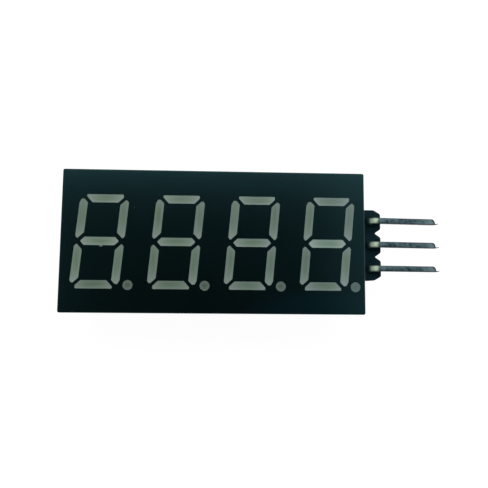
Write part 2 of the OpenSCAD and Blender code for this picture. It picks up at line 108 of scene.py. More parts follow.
CAPACITOR_YS = (CAPACITOR_LOW.y + BLOCK_W / 2, CAPACITOR_HIGH.y - BLOCK_W / 2)


# ---- Shader nodes ----


def add(tree, kind, inputs=None, **settings):
    """A shader node. Each input is a plain value, or the output socket that feeds it."""
    made = tree.nodes.new(kind)
    for key, value in settings.items():
        setattr(made, key, value)
    for key, value in (inputs or {}).items():
        if isinstance(value, bpy.types.NodeSocket):
            tree.links.new(value, made.inputs[key])
        else:
            made.inputs[key].default_value = value
    return made


def maths(tree, operation, first, second=0.0, third=0.0):
    inputs = {0: first, 1: second, 2: third}
    return add(tree, "ShaderNodeMath", inputs, operation=operation).outputs[0]


def times(tree, first, second):
    return maths(tree, "MULTIPLY", first, second)


def vector_maths(tree, operation, first, second=(0, 0, 0)):
    inputs = {0: first, 1: second}
    return add(tree, "ShaderNodeVectorMath", inputs, operation=operation).outputs


def ramp(tree, value, low, high, to_low=0.0, to_high=1.0):
    """The value's range from low to high, spread over another range and held at its ends."""
    inputs = {
        "Value": value,
        "From Min": low,
        "From Max": high,
        "To Min": to_low,
        "To Max": to_high,
    }
    made = add(tree, "ShaderNodeMapRange", inputs, interpolation_type="SMOOTHSTEP")
    return made.outputs["Result"]


def varied(tree, mask, at_none, at_full):
    """A value that follows a mask from one end of its own range to the other."""
    return ramp(tree, mask, 0.0, 1.0, at_none, at_full)


def blend_colours(tree, share, first, second, way="MIX"):
    """A share of the second colour on the first. A colour is three values, or its socket."""
    inputs = {0: share}
    for index, colour in ((6, first), (7, second)):
        inputs[index] = colour if isinstance(colour, bpy.types.NodeSocket) else (*colour, 1)
    return add(tree, "ShaderNodeMix", inputs, data_type="RGBA", blend_type=way).outputs[2]


def noise(tree, vector, scale, detail=2.0):
    inputs = {"Vector": vector, "Scale": scale, "Detail": detail}
    return add(tree, "ShaderNodeTexNoise", inputs).outputs["Fac"]


def waves(tree, vector, way, scale, distortion, finer=1.0):
    """Bands across one axis of the vector, distorted by a finer or coarser noise."""
    inputs = {"Vector": vector, "Scale": scale, "Distortion": distortion, "Detail Scale": finer}
    return add(tree, "ShaderNodeTexWave", inputs, bands_direction=way).outputs["Fac"]


def axes_of(tree, vector):
    return add(tree, "ShaderNodeSeparateXYZ", {"Vector": vector}).outputs


def object_place(tree):
    return add(tree, "ShaderNodeTexCoord").outputs["Object"]


def facing_up(tree):
    """How far the surface faces up: 1 on the front, 0 on the sides and -1 on the back."""
    return axes_of(tree, add(tree, "ShaderNodeNewGeometry").outputs["Normal"])["Z"]


def bump(tree, height, distance, strength=0.5):
    inputs = {"Height": height, "Distance": distance, "Strength": strength}
    return add(tree, "ShaderNodeBump", inputs).outputs["Normal"]


def shader_of(name, colour, roughness, **constants):
    """A new material, its tree and its Principled shader, with constants on its own sockets."""
    material = bpy.data.materials.new(name)
    material.use_nodes = True
    tree = material.node_tree
    shader = tree.nodes["Principled BSDF"]
    shader.inputs["Base Color"].default_value = (*colour, 1)
    shader.inputs["Roughness"].default_value = roughness
    for key, value in constants.items():
        shader.inputs[key.replace("_", " ")].default_value = value
    return material, tree, shader


def feed(tree, shader, **sockets):
    for key, value in sockets.items():
        tree.links.new(value, shader.inputs[key.replace("_", " ")])


# ---- Effects that several materials share ----


def new_group(name, outputs, **inputs):
    """A shader node group: its outputs are named values, and each input has its kind."""
    tree = bpy.data.node_groups.new(name, "ShaderNodeTree")
    for socket, kind in inputs.items():
        tree.interface.new_socket(socket, in_out="INPUT", socket_type="NodeSocket" + kind)
    for socket in outputs:
        tree.interface.new_socket(socket, in_out="OUTPUT", socket_type="NodeSocketFloat")
    return tree, tree.nodes.new("NodeGroupInput").outputs, tree.nodes.new("NodeGroupOutput").inputs


def make_grain():
    """Fine grain of a moulded or cast face, coarse and fine together, and its height."""
    tree, given, out = new_group("Fine grain", ("Mask", "Height"), Vector="Vector", Scale="Float")
    coarse = noise(tree, given["Vector"], given["Scale"], 3.0)
    fine = noise(tree, given["Vector"], times(tree, given["Scale"], 4.3))
    tree.links.new(ramp(tree, coarse, 0.35, 0.65), out["Mask"])
    tree.links.new(maths(tree, "MULTIPLY_ADD", fine, 0.4, coarse), out["Height"])
    return tree


def make_streaks():
    """Streaks drawn out along the first axis of the vector."""
    tree, given, out = new_group(
        "Streaks", ("Mask", "Height"), Vector="Vector", Along="Float", Across="Float"
    )
    scales = {"X": given["Along"], "Y": given["Across"], "Z": given["Across"]}
    stretch = add(tree, "ShaderNodeCombineXYZ", scales).outputs["Vector"]
    drawn = vector_maths(tree, "MULTIPLY", given["Vector"], stretch)["Vector"]
    height = noise(tree, drawn, 1.0, 4.0)
    tree.links.new(ramp(tree, height, 0.32, 0.68), out["Mask"])
    tree.links.new(height, out["Height"])
    return tree


def make_spot():
    """Soft-edged oval spot with an uneven rim, 1 inside and 0 outside."""
    tree, given, out = new_group(
        "Spot", ("Mask",), Vector="Vector", Centre="Vector", Reach="Vector", Unevenness="Float"
    )
    away = vector_maths(tree, "SUBTRACT", given["Vector"], given["Centre"])["Vector"]
    shares = vector_maths(tree, "DIVIDE", away, given["Reach"])["Vector"]
    length = vector_maths(tree, "LENGTH", shares)["Value"]
    wobble = times(tree, noise(tree, shares, 1.7), given["Unevenness"])
    uneven = maths(tree, "ADD", length, wobble)
    tree.links.new(ramp(tree, uneven, 0.7, 1.2, 1.0, 0.0), out["Mask"])
    return tree


GRAIN = make_grain()
STREAKS = make_streaks()
SPOT = make_spot()


def use(tree, group, **inputs):
    """A shared effect, placed in a material with its own values."""
    return add(tree, "ShaderNodeGroup", inputs, node_tree=group).outputs


def spot(tree, vector, centre, reach, unevenness):
    """Mask of one spot, its centre and reach in millimetres."""
    centre, reach = (tuple(MM * value for value in point) for point in (centre, reach))
    return use(tree, SPOT, Vector=vector, Centre=centre, Reach=reach, Unevenness=unevenness)["Mask"]


# ---- Materials: the display ----

RESIN_BLEED = (-11.06, -0.55, 0)  # resin that crept out under digit 1's middle segment
PALE_SPECK = (-7.93, 3.31, 0)  # beside digit 1's upper right segment
BLUISH_CORNER = (11, -6.6, 0)  # the face's corner by digit 4's decimal point
COOLER = (0.96, 1.0, 1.14)  # the resin's tint at the connector's end


def housing_plastic():
    """Satin black moulding with a teal cast, a pale speck and a trace of resin on its face."""
    material, tree, shader = shader_of(
        "housing_plastic",
        (0.0005, 0.0017, 0.0018),
        0.19,
        Specular_IOR_Level=0.45,
        Specular_Tint=(0.3, 0.87, 0.97, 1),
    )
    place = object_place(tree)
    cloud = use(tree, GRAIN, Vector=place, Scale=230.0)
    grain = use(tree, GRAIN, Vector=place, Scale=9000.0)
    black = blend_colours(tree, cloud["Mask"], (0.0003, 0.0014, 0.0013), (0.0006, 0.0019, 0.0022))
    bluish = spot(tree, place, BLUISH_CORNER, (8.5, 2.2, 3.0), 0.4)
    tinted = blend_colours(tree, bluish, black, (0.0004, 0.0046, 0.0072))
    bleed = spot(tree, place, RESIN_BLEED, (0.2, 0.1, 0.3), 0.3)
    bled = blend_colours(tree, bleed, tinted, (0.13, 0.19, 0.15))
    speck = times(tree, spot(tree, place, PALE_SPECK, (0.05, 0.17, 0.3), 0.5), 0.18)
    feed(tree, shader, Base_Color=blend_colours(tree, speck, bled, (0.13, 0.17, 0.18)))
    feed(tree, shader, Roughness=varied(tree, grain["Mask"], 0.17, 0.21))
    feed(tree, shader, Normal=bump(tree, grain["Height"], 0.002 * MM))
    return material


def resin(name, middle_tone, green_tone, rim_tone, end_tone=None):
    """Diffusing resin: streaked, paler at a segment's ends, if any, and paler at the well's edge,
    where painted light lifts the shade of the well's wall.
    """
    material, tree, shader = shader_of(name, middle_tone, 0.4, Specular_IOR_Level=0.35)
    place = object_place(tree)
    run = add(tree, "ShaderNodeUVMap", uv_map="Run").outputs["UV"]
    ends = axes_of(tree, add(tree, "ShaderNodeUVMap", uv_map="Ends").outputs["UV"])
    rim, tone = (
        add(tree, "ShaderNodeAttribute", attribute_name=mark).outputs["Fac"]
        for mark in ("rim", "tone")
    )
    streaks = use(tree, STREAKS, Vector=run, Along=0.4, Across=3.4)
    cloud = use(tree, GRAIN, Vector=run, Scale=0.55)
    grain = use(tree, GRAIN, Vector=place, Scale=7000.0)
    mottled = blend_colours(tree, cloud["Mask"], middle_tone, green_tone)
    light = tuple(0.4 * a + 0.6 * b for a, b in zip(middle_tone, rim_tone))
    streaked = blend_colours(tree, times(tree, streaks["Mask"], 0.85), mottled, light)
    # Painted light: the rim's paler tone lifts the shade that the well's wall casts on the resin's
    # edge.
    edged = blend_colours(tree, rim, streaked, rim_tone)
    near_end = times(tree, times(tree, ends["X"], ends["X"]), 0.2)
    low_down = ramp(tree, ends["Y"], 0.05, 0.3, 0.0, 0.2)
    ended = blend_colours(tree, maths(tree, "ADD", near_end, low_down), edged, end_tone or rim_tone)
    rightward = ramp(tree, axes_of(tree, place)["X"], -9 * MM, 16 * MM, 0.0, 0.7)
    cooled = blend_colours(tree, rightward, ended, COOLER, "MULTIPLY")
    feed(tree, shader, Base_Color=blend_colours(tree, tone, (0, 0, 0), cooled))
    feed(tree, shader, Roughness=varied(tree, grain["Mask"], 0.34, 0.46))
    feed(tree, shader, Normal=bump(tree, grain["Height"], 0.0015 * MM))
    return material


def hidden_material(name, first, second, roughness, scale):
    """Plain mottled finish of a piece that is out of sight."""
    material, tree, shader = shader_of(name, first, roughness)
    cloud = use(tree, GRAIN, Vector=object_place(tree), Scale=scale)
    feed(tree, shader, Base_Color=blend_colours(tree, cloud["Mask"], first, second))
    feed(tree, shader, Normal=bump(tree, cloud["Height"], 0.005 * MM, 0.4))
    return material


# ---- Materials: metal ----


def connector_metal():
    """Dulled tin, with painted shade along both edges and at the snip, and a painted highlight on
    the upper faces where the pins were bent.
    """
    material, tree, shader = shader_of(
        "connector_pin_metal", (0.1, 0.15, 0.16), 0.36, Metallic=0.85
    )
    place = object_place(tree)
    axes = axes_of(tree, place)
    streaks = use(tree, STREAKS, Vector=place, Along=450.0, Across=7000.0)
    tarnish = use(tree, STREAKS, Vector=place, Along=2400.0, Across=2600.0)

    def along_pin(start, end, *to):
        """Ramp between two distances from the pins' legs, in millimetres."""
        return ramp(tree, axes["X"], CONNECTOR.x + start * MM, CONNECTOR.x + end * MM, *to)

    dull = blend_colours(tree, streaks["Mask"], (0.01, 0.03, 0.039), (0.06, 0.108, 0.126))
    patchy = blend_colours(tree, times(tree, tarnish["Mask"], 0.7), dull, (0.13, 0.212, 0.233))
    tipward = times(tree, along_pin(5.0, 7.0), 0.65)
    paler = blend_colours(tree, tipward, patchy, (0.19, 0.275, 0.3))

    row = maths(tree, "SUBTRACT", axes["Y"], CONNECTOR.y)
    across = maths(tree, "WRAP", row, CONNECTOR_PITCH / 2, -CONNECTOR_PITCH / 2)
    aside = maths(tree, "ABSOLUTE", across)
    # Painted shade: the top face darkens towards both long edges of each pin.
    edge = times(tree, ramp(tree, aside, 0.17 * MM, 0.28 * MM), 0.85)
    plan = add(tree, "ShaderNodeCombineXYZ", {"X": axes["X"], "Y": across}).outputs["Vector"]
    # Painted shade along the snip's curved end, standing in for its rounded edge.
    uncut = spot(tree, plan, (SNIP_X / MM, -0.2, 0.0), (0.26, 0.38, 1.0), 0.2)
    end = times(tree, ramp(tree, axes["X"], SNIP_X - 0.06 * MM, SNIP_X + 0.1 * MM), 0.85)
    snip_shade = times(tree, maths(tree, "SUBTRACT", 1.0, uncut), end)
    dark = maths(tree, "MAXIMUM", edge, snip_shade)
    edged = blend_colours(tree, dark, paler, (0.005, 0.012, 0.016))

    # Painted shade: a darker olive band just past the bend.
    olive = times(tree, along_pin(0.4, 0.6), along_pin(0.8, 1.0, 0.6, 0.0))
    olive_shaded = blend_colours(tree, olive, edged, (0.06, 0.095, 0.055))
    leg = along_pin(0.2, 0.5, 1.0, 0.0)
    greyed = blend_colours(tree, leg, olive_shaded, (0.06, 0.13, 0.13))
    # Painted highlight: a pale, less metallic colour on the upward faces of the bend, dimmer
    # towards the pin's sides.
    bend = times(tree, along_pin(-0.22, 0.02), along_pin(0.46, 0.84, 1.0, 0.0))
    bend_highlight = times(tree, bend, ramp(tree, facing_up(tree), 0.05, 0.4))
    beside = times(tree, ramp(tree, aside, 0.12 * MM, 0.3 * MM), 0.8)
    bend_highlight_colour = blend_colours(tree, beside, (0.64, 0.79, 0.6), (0.12, 0.17, 0.11))

    feed(tree, shader, Base_Color=blend_colours(tree, bend_highlight, greyed, bend_highlight_colour))
    leg_metal = varied(tree, leg, 0.85, 0.35)
    bright_metal = varied(tree, bend_highlight, 0.85, 0.12)
    feed(tree, shader, Metallic=maths(tree, "MINIMUM", leg_metal, bright_metal))
    feed(tree, shader, Roughness=varied(tree, tarnish["Mask"], 0.3, 0.45))
    feed(tree, shader, Normal=bump(tree, streaks["Height"], 0.004 * MM))
    return material


def tin(name, first, second, roughness):
    """Tin plate with small dull patches."""
    material, tree, shader = shader_of(name, first, roughness, Metallic=1.0)
    place = object_place(tree)
    cloud = use(tree, GRAIN, Vector=place, Scale=2200.0)
    grain = use(tree, GRAIN, Vector=place, Scale=12000.0)
    feed(tree, shader, Base_Color=blend_colours(tree, cloud["Mask"], first, second))
    feed(tree, shader, Roughness=varied(tree, cloud["Mask"], roughness - 0.08, roughness + 0.1))
    feed(tree, shader, Normal=bump(tree, grain["Height"], 0.003 * MM, 0.35))
    return material


# ---- Materials: board, plastic and small parts ----


def strip_plastic():
    """Matt black moulding of the connector."""
    material, tree, shader = shader_of(
        "strip_plastic",
        (0.004, 0.011, 0.014),
        0.6,
        Specular_IOR_Level=0.1,
        Specular_Tint=(0.3, 0.85, 1.0, 1),
    )
    place = object_place(tree)
    cloud = use(tree, GRAIN, Vector=place, Scale=900.0)
    grain = use(tree, GRAIN, Vector=place, Scale=9000.0)
    black = blend_colours(tree, cloud["Mask"], (0.0052, 0.0158, 0.021), (0.0075, 0.0215, 0.029))
    feed(tree, shader, Base_Color=black)
    feed(tree, shader, Roughness=varied(tree, grain["Mask"], 0.54, 0.66))
    feed(tree, shader, Normal=bump(tree, grain["Height"], 0.006 * MM))
    return material


def board_laminate():
    """Green solder mask on both faces of the board, and bare glass laminate at its cut edges."""
    material, tree, shader = shader_of(
        "board_laminate", (0.006, 0.1, 0.035), 0.24, Coat_Roughness=0.1
    )
    place = object_place(tree)
    warp, weft = (waves(tree, place, way, 380.0, 1.2, 900.0) for way in "XY")
    cloth = times(tree, warp, weft)
    fibres = use(tree, STREAKS, Vector=place, Along=900.0, Across=900.0)
    layers = waves(tree, place, "Z", 1500.0, 3.0)
    face = ramp(tree, maths(tree, "ABSOLUTE", facing_up(tree)), 0.4, 0.6)
    mask_green = blend_colours(tree, cloth, (0.004, 0.085, 0.03), (0.007, 0.115, 0.042))
    core = blend_colours(tree, layers, (0.3, 0.3, 0.14), (0.46, 0.45, 0.26))
    frayed = blend_colours(tree, fibres["Mask"], core, (0.22, 0.25, 0.13))
    feed(tree, shader, Base_Color=blend_colours(tree, face, frayed, mask_green))
    feed(tree, shader, Roughness=varied(tree, face, 0.75, 0.26))
    feed(tree, shader, Normal=bump(tree, cloth, 0.004 * MM))
    return material


def masked_copper():
    """Solder mask over a track: lighter than over bare laminate."""
    material, tree, shader = shader_of("masked_copper", (0.016, 0.2, 0.07), 0.25)
    cloud = use(tree, GRAIN, Vector=object_place(tree), Scale=1500.0)
    green = blend_colours(tree, cloud["Mask"], (0.014, 0.18, 0.06), (0.022, 0.23, 0.085))
    feed(tree, shader, Base_Color=green)
    return material


def legend_ink():
    """White printed outlines, worn thin in places."""
    material, tree, shader = shader_of("legend_ink", (0.7, 0.72, 0.68), 0.6)
    wear = use(tree, GRAIN, Vector=object_place(tree), Scale=3000.0)
    white = blend_colours(tree, wear["Mask"], (0.72, 0.74, 0.7), (0.45, 0.55, 0.46))
    feed(tree, shader, Base_Color=white)
    return material


def mould_compound():
    """Black compound round the chips, with a dull grain."""
    material, tree, shader = shader_of("mould_compound", (0.012, 0.012, 0.013), 0.55)
    grain = use(tree, GRAIN, Vector=object_place(tree), Scale=8000.0)
    black = blend_colours(tree, grain["Mask"], (0.01, 0.01, 0.011), (0.02, 0.02, 0.021))
    feed(tree, shader, Base_Color=black)
    feed(tree, shader, Roughness=varied(tree, grain["Mask"], 0.5, 0.65))
    feed(tree, shader, Normal=bump(tree, grain["Height"], 0.008 * MM))
    return material


def ceramic(name, side, top, top_z):
    """Ceramic block whose outer face has its own coat, from the given height outwards."""
    material, tree, shader = shader_of(name, side, 0.35)
    place = object_place(tree)
    coated = ramp(tree, axes_of(tree, place)["Z"], top_z, top_z + 0.03 * MM, 1.0, 0.0)
    cloud = use(tree, GRAIN, Vector=place, Scale=5000.0)
    body = blend_colours(tree, cloud["Mask"], side, tuple(0.85 * value for value in side))
    coat = blend_colours(tree, cloud["Mask"], top, tuple(1.3 * value for value in top))
    feed(tree, shader, Base_Color=blend_colours(tree, coated, body, coat))
    feed(tree, shader, Normal=bump(tree, cloud["Height"], 0.004 * MM))
    return material


# ---- Making a piece ----


def piece(name, bm, material, replaced=(), crease=38):
    """Makes the object from its finished mesh, shades it smooth up to the crease and rides it."""
    mesh = bpy.data.meshes.new(name)
    bm.to_mesh(mesh)
    bm.free()
    mesh.materials.append(material)
    mesh.shade_smooth()
    mesh.set_sharp_from_angle(angle=math.radians(crease))
    made = bpy.data.objects.new(name, mesh)
    bpy.context.scene.collection.objects.link(made)
    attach(made, BODY)
    if replaced:
        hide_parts(*replaced)


def merged(node):
    """The mesh of a CAD node with its loose triangles joined into flat faces."""
    bm = bmesh.new()
    bm.from_mesh(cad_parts[node].data)
    bmesh.ops.remove_doubles(bm, verts=bm.verts, dist=HAIR)
    bmesh.ops.dissolve_limit(bm, angle_limit=math.radians(1), verts=bm.verts, edges=bm.edges)
    return bm


def round_edges(bm, edges, width, steps):
    bmesh.ops.bevel(
        bm,
        geom=list(edges),
        offset=width,
        segments=steps,
        profile=0.5,
        affect="EDGES",
        material=-1,
        clamp_overlap=True,
    )


def soften(bm, width, steps=2, allowed=lambda edge: True):
    """Rounds the sharp edges of a mesh."""
    sharp = [e for e in bm.edges if e.is_manifold and e.calc_face_angle(0) > SHARP and allowed(e)]
    round_edges(bm, sharp, width, steps)
    bmesh.ops.dissolve_degenerate(bm, dist=HAIR, edges=bm.edges)


def softened_piece(name, node, width, material, slot, **how):
    """A CAD node's shape with its sharp edges rounded, standing for that node."""
    bm = merged(node)
    soften(bm, width, **how)
    piece(name, bm, material, (node,))


def lathe(bm, x, y, profile, steps=24):
    """A shape turned about the upright line at x, y. Its profile is (radius, z) pairs in order."""
    verts = [bm.verts.new((x + radius, y, z)) for radius, z in profile]
    edges = [bm.edges.new(pair) for pair in zip(verts, verts[1:])]
    bmesh.ops.spin(
        bm,
        geom=verts + edges,
        cent=(x, y, 0),
        axis=(0, 0, 1),
        angle=math.tau,
        steps=steps,
        use_merge=True,
        use_duplicate=False,
    )


def quarter(steps):
    """Angles of a quarter turn, from none to the whole of it."""
    return [math.pi / 2 * i / steps for i in range(steps + 1)]


def close(bm):
    """Joins a turned mesh at its seam and poles, and points its faces outwards."""
    bmesh.ops.remove_doubles(bm, verts=bm.verts, dist=SEAM)
    bmesh.ops.recalc_face_normals(bm, faces=bm.faces)


def block(bm, low, high, rounding):
    """A box between two corners, with rounded edges."""
    size = [b - a for a, b in zip(low, high)]
    centre = [(a + b) / 2 for a, b in zip(low, high)]
    place = Matrix.Translation(centre) @ Matrix.Diagonal((*size, 1))
    made = bmesh.ops.create_cube(bm, size=1, matrix=place)
    round_edges(bm, {e for v in made["verts"] for e in v.link_edges}, rounding, 2)


# ---- Resin in the segments and points ----

# Rings in from the rim: how far inward in millimetres, how much of the rim's tone is left, and
# how far down in millimetres
SEGMENT_RINGS = ((0.06, 1.0, 0.003), (0.15, 0.55, 0.006), (0.26, 0.0, 0.008))
POINT_RINGS = ((0.07, 1.0, 0.002), (0.16, 0.85, 0.005), (0.26, 0.3, 0.008), (0.34, 0.0, 0.01))
FILLED = {"a": 0.7, "g": 0.75, "d": 0.59}  # share of full tone, by segment
OTHERS_FILLED = 0.64
POINTS_FILLED = 0.95
UNEVENLY = 0.016  # how far a segment's own tone may be from its kind's, either way
# Segments that differ from their kind by more than that
STAND_OUT = {
    (1, "e"): 1.09,
    (2, "g"): 0.88,
    (3, "g"): 0.91,
    (4, "g"): 1.18,
    (4, "c"): 1.13,
    (4, "d"): 1.1,
}
DARKEST = 0.4  # the darkest place of an upright segment, up from its middle, in millimetres
LEVEL_PALES = 1.23  # how much faster a level segment pales towards its ends
NEXT_PATCH = (9.7, 3.1)  # from one well's place in the streaks to the next one's


def shrunk(outline, inward):
    """The corners of a convex outline after each of its sides has moved inward."""
    kept = list(outline)
    for start, end in zip(outline, outline[1:] + outline[:1]):
        along = (end - start).normalized()
        inner = Vector((-along.y, along.x))
        heights = [(point - start).dot(inner) - inward for point in kept]
        cut = []
        for i, point in enumerate(kept):
            last = heights[i - 1]
            if (heights[i] > 0) != (last > 0):
                cut.append(kept[i - 1].lerp(point, last / (last - heights[i])))
            if heights[i] > 0:
                cut.append(point)
        kept = cut
    apart = 0.003 * MM
    return [point for i, point in enumerate(kept) if (point - kept[i - 1]).length > apart]


def strip_between(bm, outer, inner):
    """Triangles between two rings of verts, each across the shorter way."""
    first = min(range(len(inner)), key=lambda j: (inner[j].co - outer[0].co).length)
    outer = outer + outer[:1]
    inner = inner[first:] + inner[: first + 1]
    i = j = 0
    while i < len(outer) - 1 or j < len(inner) - 1:
        if j == len(inner) - 1:
            outward = True
        elif i == len(outer) - 1:
            outward = False
        else:
            outer_way = (outer[i + 1].co - inner[j].co).length
            outward = outer_way < (inner[j + 1].co - outer[i].co).length
        if outward:
            bm.faces.new((outer[i], outer[i + 1], inner[j]))
            i += 1
        else:
            bm.faces.new((outer[i], inner[j + 1], inner[j]))
            j += 1


def sunk(bm, top, rim, rings):
    """Lowers the middle of a convex face in rings, each with its share of the rim's tone."""
    ring = list(top.verts)
    outline = [vert.co.xy for vert in ring]
    z = ring[0].co.z
    bmesh.ops.delete(bm, geom=[top], context="FACES_ONLY")
    for vert in ring:
        vert[rim] = 1
    for inward, left, down in rings:
        inner = [bm.verts.new((*point, z - down * MM)) for point in shrunk(outline, inward * MM)]
        for vert in inner:
            vert[rim] = left
        strip_between(bm, ring, inner)
        ring = inner
    bm.faces.new(ring)


def resin_piece(node, material, nth, tone, rings):
    """Resin of one well: its top sinks a little, and its rim, tone, run and ends are marked."""
    bm = merged(node)
    rim = bm.verts.layers.float.new("rim")
    toned = bm.verts.layers.float.new("tone")
    run = bm.loops.layers.uv.new("Run")
    ends = bm.loops.layers.uv.new("Ends")
    sunk(bm, max(bm.faces, key=lambda f: f.calc_center_median().z), rim, rings)
    for vert in bm.verts:
        vert[toned] = tone
    low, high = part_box(node)
    size = high - low
    centre = (low + high) / 2
    wide = size.x > size.y
    longer = max(size.x, size.y) > 1.5 * min(size.x, size.y)
    for face in bm.faces:
        for loop in face.loops:
            x, y = loop.vert.co.x - centre.x, loop.vert.co.y - centre.y
            x -= y * LEAN
            along, across = (x, y) if wide else (y, x)
            loop[run].uv = (along / MM + NEXT_PATCH[0] * nth, across / MM + NEXT_PATCH[1] * nth)
            away = (LEVEL_PALES * x / MM, -y / MM) if wide else (y / MM - DARKEST, 0.0)
            loop[ends].uv = away if longer else (0.0, 0.0)
    piece("resin_" + node, bm, material, (node,))


def make_resin():
    """All 28 segments and the points. The last point is cloudier than the others."""
    in_segment = resin(
        "segment_resin",
        (0.167, 0.254, 0.179),
        (0.143, 0.243, 0.137),
        (0.23, 0.33, 0.263),
        (0.34, 0.43, 0.375),
    )
    in_point = resin(
        "point_resin", (0.06, 0.1, 0.071), (0.054, 0.094, 0.062), (0.115, 0.158, 0.132)
    )
    in_last = resin(
        "cloudy_point_resin", (0.083, 0.142, 0.121), (0.078, 0.136, 0.11), (0.108, 0.165, 0.142)
    )
    chance = random.Random(7)
    nth = 0
    for digit in DIGITS:
        for letter in SEGMENTS:
            nth += 1
            tone = FILLED.get(letter, OTHERS_FILLED) + chance.uniform(-UNEVENLY, UNEVENLY)
            tone *= STAND_OUT.get((digit, letter), 1)
            node = f"digit_{digit}_segment_{letter}"
            resin_piece(node, in_segment, nth, tone, SEGMENT_RINGS)
        nth += 1
        node = f"digit_{digit}_decimal_point"
        in_this = in_last if digit == DIGITS[-1] else in_point
        resin_piece(node, in_this, nth, POINTS_FILLED, POINT_RINGS)


# ---- Connector ----

TIP_L = 0.9 * MM  # end of a pin whose edges stay sharp, as cut


def make_connector():
    """The three bent pins, and the strip with rounder edges at its notches and corners."""
    metal = connector_metal()
    for way in WAYS:
        node = f"connector_pin_{way}"
        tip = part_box(node)[1].x - TIP_L
        softened_piece(
            f"bent_pin_{way}",
            node,
            0.05 * MM,
            metal,
            "connector_pin_metal",
            allowed=lambda edge: min(v.co.x for v in edge.verts) < tip,
        )
    bm = merged("connector_strip")

    def by_notch(edge):
        """Whether it is an upright edge beside a notch or at the strip's ends."""
        upright = abs(edge.verts[0].co.z - edge.verts[1].co.z) > MM
        from_ways = [abs(v.co.y - y) for v in edge.verts for y in CONNECTOR_YS]
        return upright and min(from_ways) > CONNECTOR_PITCH / 4

    soften(bm, 0.13 * MM, steps=3, allowed=by_notch)
    soften(bm, 0.05 * MM)
    piece("strip_moulding", bm, strip_plastic(), ("connector_strip",))


# ---- Solder ----

CONE_RISE = 0.9 * MM
CONE_STEPS = 8
IN_HOLE = 0.4 * MM  # how far a joint reaches into its hole
# Radii of a joint: its hole, its pad and its tip round the pin
DISPLAY_JOINT = (0.45 * MM, 0.8 * MM, 0.29 * MM)
CONNECTOR_JOINT = (0.48 * MM, 0.83 * MM, 0.4 * MM)


def solder_profile(hole, pad, tip):
    """Profile of a joint: flat on its pad, then a hollow slope up to the pin."""
    top = BOARD_BACK + IN_HOLE
    slope = []
    for turn in reversed(quarter(CONE_STEPS)):
        radius = pad - (pad - tip) * math.cos(turn)
        slope.append((radius, BOARD_BACK - CONE_RISE + CONE_RISE * math.sin(turn)))
    return [(0, top), (hole, top), (hole, BOARD_BACK)] + slope + [(0, BOARD_BACK - CONE_RISE)]


def solder_row(name, places, joint, material, replaced):
    bm = bmesh.new()
    for x, y in places:
        lathe(bm, x, y, solder_profile(*joint), 28)
    close(bm)
    piece(name, bm, material, (replaced,), crease=60)


def make_solder(material):
    for row, side in (("upper", 1), ("lower", -1)):
        places = [(x, side * PIN_Y) for x in PIN_XS]
        solder_row("joints_" + row, places, DISPLAY_JOINT, material, "display_solder_" + row)
    places = [(CONNECTOR.x, y) for y in CONNECTOR_YS]
    solder_row("joints_connector", places, CONNECTOR_JOINT, material, "connector_solder")
    softened_piece("foot_solder", "chip_solder", 0.02 * MM, material, "solder")


# ---- Display pins ----

PIN_ROUNDING = 0.14 * MM


def pin_profile(low, high):
    """Profile of a round pin with its lower end rounded."""
    curve = []
    for turn in quarter(5):
        radius = PIN_RADIUS - PIN_ROUNDING + PIN_ROUNDING * math.sin(turn)
        curve.append((radius, low + PIN_ROUNDING - PIN_ROUNDING * math.cos(turn)))
    return [(0, low)] + curve + [(PIN_RADIUS, high), (0, high)]


def make_display_pins():
    """Round pins whose ends were tumbled smooth."""
    metal = tin("display_pin_metal", (0.6, 0.6, 0.57), (0.5, 0.5, 0.48), 0.32)
    for row, side in (("upper", 1), ("lower", -1)):
        node = "display_pins_" + row
        low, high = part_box(node)
        bm = bmesh.new()
        for x in PIN_XS:
            lathe(bm, x, side * PIN_Y, pin_profile(low.z, high.z))
        close(bm)
        piece("round_pins_" + row, bm, metal, (node,))


# ---- Parts on the back ----

END_L = 0.35 * MM  # length of the metal end of a resistor or capacitor
LAPPED = 0.05 * MM  # how far a body reaches into its metal ends
FILLET_REACH = 0.3 * MM
FILLET_HALF_W = 0.36 * MM
FILLET_INTO = 0.03 * MM  # how far the solder reaches into the metal end


def ceramic_blocks(kind, low, high, ys, thinner, material, tinned, node):
    """Ceramic bodies, a little thinner than the CAD blocks, with a full metal cap at each end."""
    bodies, caps = bmesh.new(), bmesh.new()
    inside = END_L - LAPPED
    half = BLOCK_W / 2
    for y in ys:
        near = (low.x + inside, y - half + thinner, low.z + thinner)
        far = (high.x - inside, y + half - thinner, high.z - thinner)
        block(bodies, near, far, 0.02 * MM)
        for start in (low.x, high.x - END_L):
            block(caps, (start, y - half, low.z), (start + END_L, y + half, high.z), 0.05 * MM)
    piece(kind + "_bodies", bodies, material, (node,))
    piece(kind + "_caps", caps, tinned, (node,))


def make_blocks():
    coat_z = RESISTOR_LOW.z + 0.07 * MM
    white = ceramic("resistor_ceramic", (0.62, 0.6, 0.56), (0.012, 0.012, 0.013), coat_z)
    tan = ceramic("capacitor_ceramic", (0.34, 0.2, 0.095), (0.36, 0.22, 0.1), CAPACITOR_LOW.z)
    tinned = tin("tinned_ends", (0.66, 0.66, 0.64), (0.52, 0.53, 0.52), 0.3)
    for kind, low, high, ys, thinner, material, node in (
        ("resistor", RESISTOR_LOW, RESISTOR_HIGH, RESISTOR_YS, 0.03, white, "segment_resistors"),
        ("capacitor", CAPACITOR_LOW, CAPACITOR_HIGH, CAPACITOR_YS, 0.035, tan, "capacitors"),
    ):
        ceramic_blocks(kind, low, high, ys, thinner * MM, material, tinned, node)


